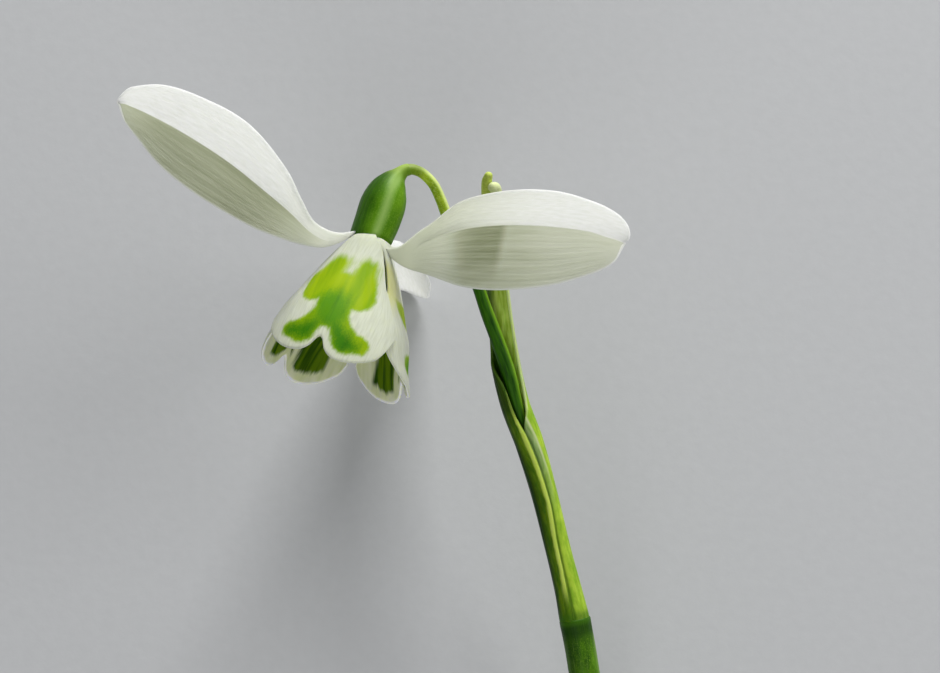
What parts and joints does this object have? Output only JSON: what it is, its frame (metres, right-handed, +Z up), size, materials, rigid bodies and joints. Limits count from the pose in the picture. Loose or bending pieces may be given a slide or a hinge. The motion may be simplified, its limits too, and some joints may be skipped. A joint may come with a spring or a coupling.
{
  "type": "snowdrop flower",
  "caption": "Open snowdrop bloom with three long spread petals, a notched green-marked bell, ovary, stalk, sheath and cut stem, lying on a surface.",
  "frame": {"origin": "middle of the bounding box on the surface that the flower lies on", "axes": "+Z up from that surface, +Y from the cut end of the stem to the bloom, +X to the right seen from above with the bloom at the top"},
  "size_m": [0.048, 0.0929, 0.0445],
  "materials": {
    "petal_white": "satin white petal with faint veins",
    "petal_marked": "satin white petal with green marks",
    "stem_green": "satin mid-green, faintly mottled",
    "sheath_green": "satin green keels with pale papery sides",
    "stalk_green": "satin lime green",
    "ovary_green": "satin dark green with a pale highlight",
    "anther_yellow": "matt yellow-orange",
    "style_pale": "satin pale green"
  },
  "bodies": {
    "root": {"outer_tepal_right": "petal_white", "outer_tepal_left": "petal_white", "outer_tepal_back": "petal_white", "inner_tepal_front": "petal_marked", "inner_tepal_right": "petal_marked", "inner_tepal_left": "petal_marked", "scape": "stem_green", "spathe": "sheath_green", "pedicel": "stalk_green", "ovary": "ovary_green", "stamen_1": "anther_yellow", "stamen_2": "anther_yellow", "stamen_3": "anther_yellow", "stamen_4": "anther_yellow", "stamen_5": "anther_yellow", "stamen_6": "anther_yellow", "style": "style_pale"}
  },
  "joints": []
}
